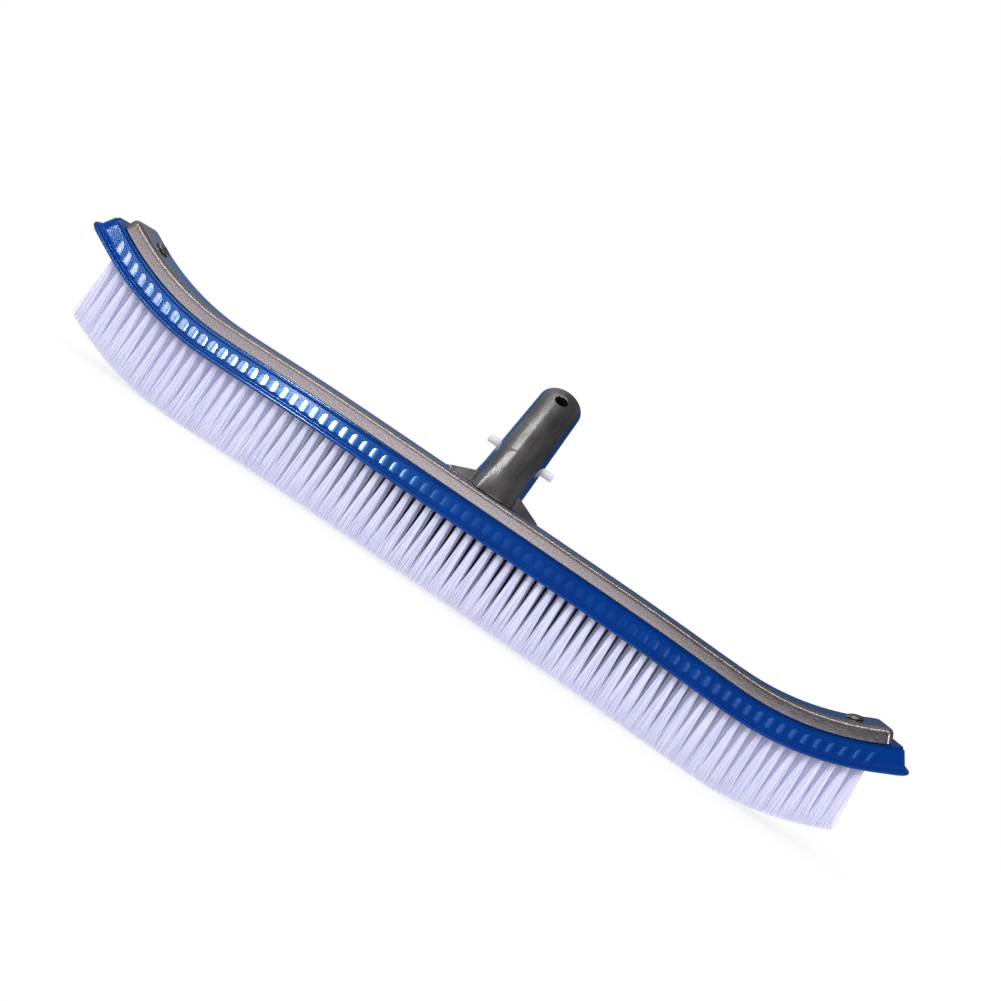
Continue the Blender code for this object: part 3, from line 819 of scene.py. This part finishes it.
def clip_frame(t):
    """Z along the tube, Y towards its back, X across the brush."""
    turn = Matrix((ACROSS, -TUBE_FRONT, TUBE_AXIS)).transposed().to_4x4()
    return Matrix.Translation(tube_point(t)) @ turn


def make_bow(place, material):
    """The half circle that joins the arms, a rounded strip in section."""
    half, width = ARM_THICK / 2 - CLIP_EDGE, ARM_HALF_WIDTH - CLIP_EDGE
    section = []
    for quarter, (cx, cy) in enumerate(((half, width), (-half, width), (-half, -width), (half, -width))):
        for a in np.linspace(0, pi / 2, 4) + quarter * pi / 2:
            section.append((cx + CLIP_EDGE * cos(a), cy + CLIP_EDGE * sin(a)))
    rings = []
    for turn in np.linspace(0, pi, 33):
        ring = [((ARM_OFFSET + d) * cos(turn), y, (CLIP_RISE + d) * sin(turn)) for d, y in section]
        rings.append([place @ Vector(p) for p in ring])
    place_piece(ring_thing("clip_bow", rings, material), "brush", "clip_bend")


def make_arm(place, side, label, material):
    """One arm and its pin."""
    length = HINGE_AT - ARM_FREE_END - GAP
    middle = Matrix.Translation((side * ARM_OFFSET, 0, -GAP - length / 2))
    size = (ARM_THICK, 2 * ARM_HALF_WIDTH, length)
    arm = round_box(f"clip_leg_{label}", size, ARM_EDGE, material, place @ middle)
    at_pin = Matrix.Translation((side * ARM_OFFSET, 0, PIN_AT - HINGE_AT))
    outwards = at_pin @ Matrix.Rotation(side * pi / 2, 4, "Y")
    reach = PIN_REACH - ARM_OFFSET
    profile = [(PIN_RADIUS + 0.0001, 0), (PIN_RADIUS, reach * 0.5), (PIN_RADIUS, reach - 0.0006)]
    profile += [(PIN_RADIUS - 0.0002, reach - 0.0002), (PIN_RADIUS - 0.0006, reach)]
    combine(arm, turned_thing("pin", profile, 48, material, place @ outwards), "UNION")
    place_piece(arm, f"clip_arm_{label}", f"clip_arm_{label}")


def make_clip(material):
    """The bow and its two arms."""
    place = clip_frame(HINGE_AT)
    make_bow(place, material)
    make_arm(place, -1, "left", material)
    make_arm(place, 1, "right", material)


# Screws


def make_end_screws(material):
    """Pan heads with a cross recess."""
    for side, label in ((-1, "left"), (1, "right")):
        place = bend_frame(side * END_SCREW_AT, BACK_TOP)
        rim = END_HEAD_RADIUS
        profile = [(SHANK_RADIUS, -SHANK_LENGTH), (SHANK_RADIUS, GAP)]
        profile += [(rim - 0.0002, GAP), (rim, GAP + 0.0002), (rim, END_HEAD_SIDE)]
        for turn in np.linspace(radians(20), radians(80), 6):
            crown = END_HEAD_SIDE + (END_HEAD_HEIGHT - END_HEAD_SIDE) * sin(turn)
            profile.append((rim * cos(turn) ** 0.7, crown))
        screw = turned_thing(f"pan_screw_{label}", profile, 64, material, place)
        top = Matrix.Translation((0, 0, END_HEAD_HEIGHT))
        for degrees in RECESS_TURNS:
            turned = place @ Matrix.Rotation(radians(degrees), 4, "Z") @ top
            combine(screw, round_box("recess", RECESS_SIZE, 0.0002, material, turned))
        place_piece(screw, "brush", f"end_screw_{label}")


# Floor, light and camera


def make_floor():
    """A pale disc that fades out, so that no horizon shows."""
    paint = Paint("pale_floor")
    place = paint.add("TexCoord").outputs["Object"]
    distance = paint.add("VectorMath", {0: place}, operation="LENGTH").outputs["Value"]
    cloud = paint.grain(3, 2)
    paint.wire("Base Color", paint.blend(cloud, (0.28, 0.28, 0.28), (0.31, 0.31, 0.31)))
    paint.wire("Emission Color", paint.blend(cloud, (0.97, 0.97, 0.97), (1.0, 1.0, 1.0)))
    paint.shader.inputs["Emission Strength"].default_value = 0.72
    paint.shader.inputs["Roughness"].default_value = 0.9
    paint.shader.inputs["Specular IOR Level"].default_value = 0.0
    paint.wire("Alpha", paint.spread(distance, *FLOOR_FADE, 1.0, 0.0))
    turns = np.arange(96) * tau / 96
    level = cad_box[0].z - FLOOR_DROP
    ring = [(FLOOR_RADIUS * cos(a), FLOOR_RADIUS * sin(a), level) for a in turns]
    floor = make_thing("floor", ring, [list(range(96))], paint.material)


def make_world():
    """White to the camera, nearly white to dull surfaces, a dim grey and blue studio to glossy ones."""
    world = bpy.data.worlds.new("studio")
    bpy.context.scene.world = world
    world.use_nodes = True
    world.cycles.sampling_method = "NONE"
    nodes, links = world.node_tree.nodes, world.node_tree.links
    nodes.clear()
    output = nodes.new("ShaderNodeOutputWorld")
    path = nodes.new("ShaderNodeLightPath")
    direction = nodes.new("ShaderNodeSeparateXYZ")
    links.new(nodes.new("ShaderNodeTexCoord").outputs["Generated"], direction.inputs[0])

    def spread(axis, low, high):
        """From 0 to 1 as the mirrored direction's part along an axis goes from low to high."""
        made = nodes.new("ShaderNodeMapRange")
        made.inputs["From Min"].default_value = low
        made.inputs["From Max"].default_value = high
        links.new(direction.outputs[axis], made.inputs["Value"])
        return made.outputs["Result"]

    def ramp(axis, stops):
        """A grey or colour for each part along an axis of the mirrored direction."""
        made = nodes.new("ShaderNodeValToRGB")
        links.new(spread(axis, -1, 1), made.inputs["Fac"])
        for i, (level, colour) in enumerate(stops):
            stop = made.color_ramp.elements[i] if i < 2 else made.color_ramp.elements.new(0.999)
            stop.position = (level + 1) / 2
            stop.color = (*colour, 1) if isinstance(colour, tuple) else (colour, colour, colour, 1)
        return made.outputs["Color"]

    def mix(factor, low, high):
        """A colour between low and high."""
        made = nodes.new("ShaderNodeMix")
        made.data_type = "RGBA"
        for socket, value in ((made.inputs[0], factor), (made.inputs[6], low), (made.inputs[7], high)):
            if isinstance(value, tuple):
                socket.default_value = (*value, 1)
            else:
                links.new(value, socket)
        return made.outputs[2]

    overhead = ramp("X", OVERHEAD)
    before = mix(spread("Z", 0.02, 0.18), ramp("X", LOW_FRONT), overhead)
    behind = mix(ramp("Z", BEHIND_LEVELS), overhead, ramp("X", BEHIND))
    mirrored = mix(spread("Y", -0.35, 0.0), before, overhead)
    mirrored = mix(spread("Y", 0.35, 0.60), mirrored, behind)
    seen = mix(path.outputs["Is Glossy Ray"], (0.98, 0.98, 1.03), mirrored)
    seen = mix(path.outputs["Is Camera Ray"], seen, (1.0, 1.0, 1.0))
    shader = nodes.new("ShaderNodeBackground")
    links.new(seen, shader.inputs["Color"])
    links.new(shader.outputs[0], output.inputs["Surface"])


def make_light(name, place, aim, size, radiance, lit, colour=(1, 1, 1)):
    """A panel that the camera doesn't see, of that radiance and colour, for the things in lit."""
    data = bpy.data.lights.new(name, "AREA")
    data.shape = "RECTANGLE"
    data.size, data.size_y = size
    data.energy = radiance * pi * size[0] * size[1]
    data.color = colour
    light = bpy.data.objects.new(name, data)
    light.location = place
    light.rotation_euler = (Vector(aim) - Vector(place)).to_track_quat("-Z", "Y").to_euler()
    light.visible_camera = False
    light.light_linking.receiver_collection = lit
    bpy.context.scene.collection.objects.link(light)


def gather(name, *things):
    """A collection for a light to work on."""
    made = bpy.data.collections.new(name)
    for thing in things:
        made.objects.link(thing)
    return made


def make_lights():
    """Soft panels for the rest, strips for the back, and small windows that the glossy body mirrors."""
    meshes = [thing for thing in bpy.context.scene.collection.all_objects if thing.type == "MESH"]
    body, back = bpy.data.objects["blue_body"], bpy.data.objects["aluminium_channel"]
    glossy = gather("glossy", body)
    channel = gather("channel", back)
    rest = gather("rest", *[thing for thing in meshes if thing not in (body, back)])
    make_light("front_softbox", (0.20, -1.25, 1.05), (0.05, 0, 0.04), (1.3, 0.40), 0.9, rest)
    make_light("left_softbox", (-0.95, -1.25, 1.05), (-0.15, 0, 0.05), (1.0, 0.40), 4.3, rest)
    make_light("streak", (-0.89, 0.33, 1.5), (0, 0.05, 0.1), (0.06, 0.9), 9.0, rest)
    make_light("back_softbox", (-0.60, -1.25, 1.05), (-0.15, 0, 0.05), (1.0, 0.40), 0.8, channel)
    make_light("edge_strip", (0.15, -0.75, 1.25), (0, 0, 0.05), (1.8, 0.09), 5.5, channel)
    make_light("corner_strip", (1.15, -0.77, 0.25), (0.25, 0, 0.07), (0.12, 0.6), 6.0, channel)
    make_light("body_softbox", (-0.95, -1.25, 1.05), (-0.15, 0, 0.05), (1.0, 0.40), 6.3, glossy)
    make_light("window", (-0.425, -1.20, 0.12), (-0.11, 0, 0.045), (0.10, 0.13), 400, glossy, WARM)
    make_light("haze_window", (-0.43, -1.20, 0.30), (-0.11, 0, 0.045), (0.07, 0.05), 70, glossy, WARM)
    make_light("left_window", (-0.68, -1.20, 0.13), (-0.20, 0, 0.06), (0.16, 0.035), 150, glossy, WARM)
    make_light("right_window", (0.42, -1.20, 0.13), (0.16, 0, 0.05), (0.14, 0.06), 6.5, glossy)
    make_light("end_window", (-0.70, -1.20, 0.33), (-0.247, 0, 0.075), (0.03, 0.06), 150, glossy, WARM)


def make_camera():
    """Level with the brush, a little to its right, rolled so that the brush lies across the picture."""
    data = bpy.data.cameras.new("camera")
    data.lens = CAMERA_LENS
    data.clip_start = 0.01
    camera = bpy.data.objects.new("camera", data)
    turn = Matrix.Rotation(CAMERA_AZIMUTH, 4, "Z") @ Matrix.Rotation(CAMERA_TILT, 4, "X")
    roll = Matrix.Rotation(CAMERA_ROLL, 4, "Z")
    camera.matrix_world = Matrix.Translation(CAMERA_PLACE) @ turn @ roll
    bpy.context.scene.collection.objects.link(camera)
    bpy.context.scene.camera = camera


make_camera()
make_body(blue_plastic())
make_back(satin_aluminium())
make_tufts(nylon())
make_socket(cast_aluminium(), painted_shade_inside())
make_clip(white_plastic())
steel = zinc_steel()
make_end_screws(steel)
for label in ("left", "right"):
    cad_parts[f"foot_screw_{label}"].material_slots[0].material = steel
make_floor()
make_world()
make_lights()
bpy.context.scene.view_settings.view_transform = "Standard"
